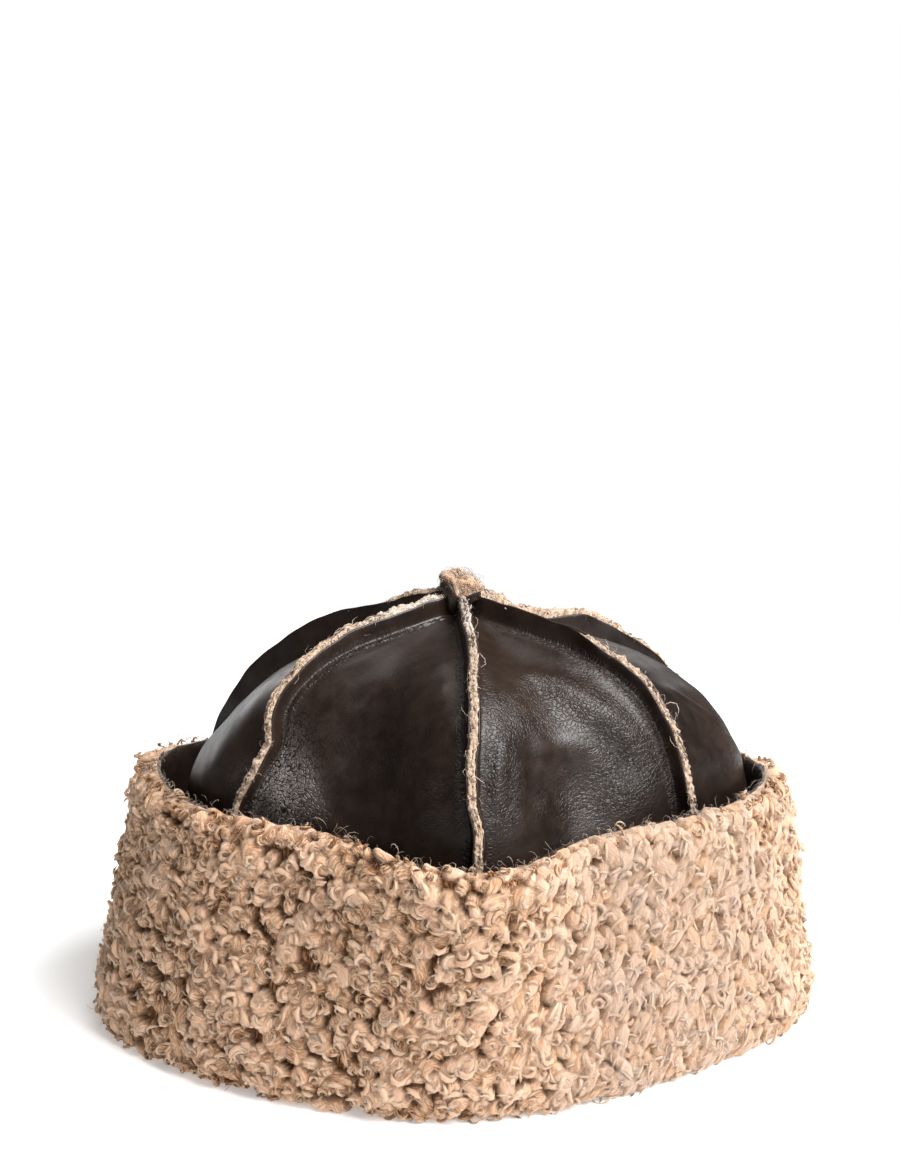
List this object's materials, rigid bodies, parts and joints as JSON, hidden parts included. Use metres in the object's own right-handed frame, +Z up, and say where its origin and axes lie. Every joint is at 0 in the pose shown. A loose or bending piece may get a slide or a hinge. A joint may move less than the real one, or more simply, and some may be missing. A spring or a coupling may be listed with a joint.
{
  "type": "shearling hat with a turned-up cuff",
  "caption": "Round shearling hat: a seamed leather crown with raised wool seams, open below for the head, and a deep turned-up fleece cuff.",
  "frame": {"origin": "on the table, under the middle of the hat's box", "axes": "+Z up, -Y towards the front seam of the crown, +X along the hat's longest way"},
  "size_m": [0.2512, 0.2112, 0.1585],
  "materials": {
    "leather": "dark brown tanned sheepskin, smooth and softly glossy with fine creases",
    "fleece": "curly beige sheep's wool in small locks"
  },
  "bodies": {
    "root": {"crown_gore_front_right": "leather", "crown_gore_right": "leather", "crown_gore_back_right": "leather", "crown_gore_back_left": "leather", "crown_gore_left": "leather", "crown_gore_front_left": "leather", "cuff": "fleece", "apex_tuft": "fleece"}
  },
  "joints": []
}
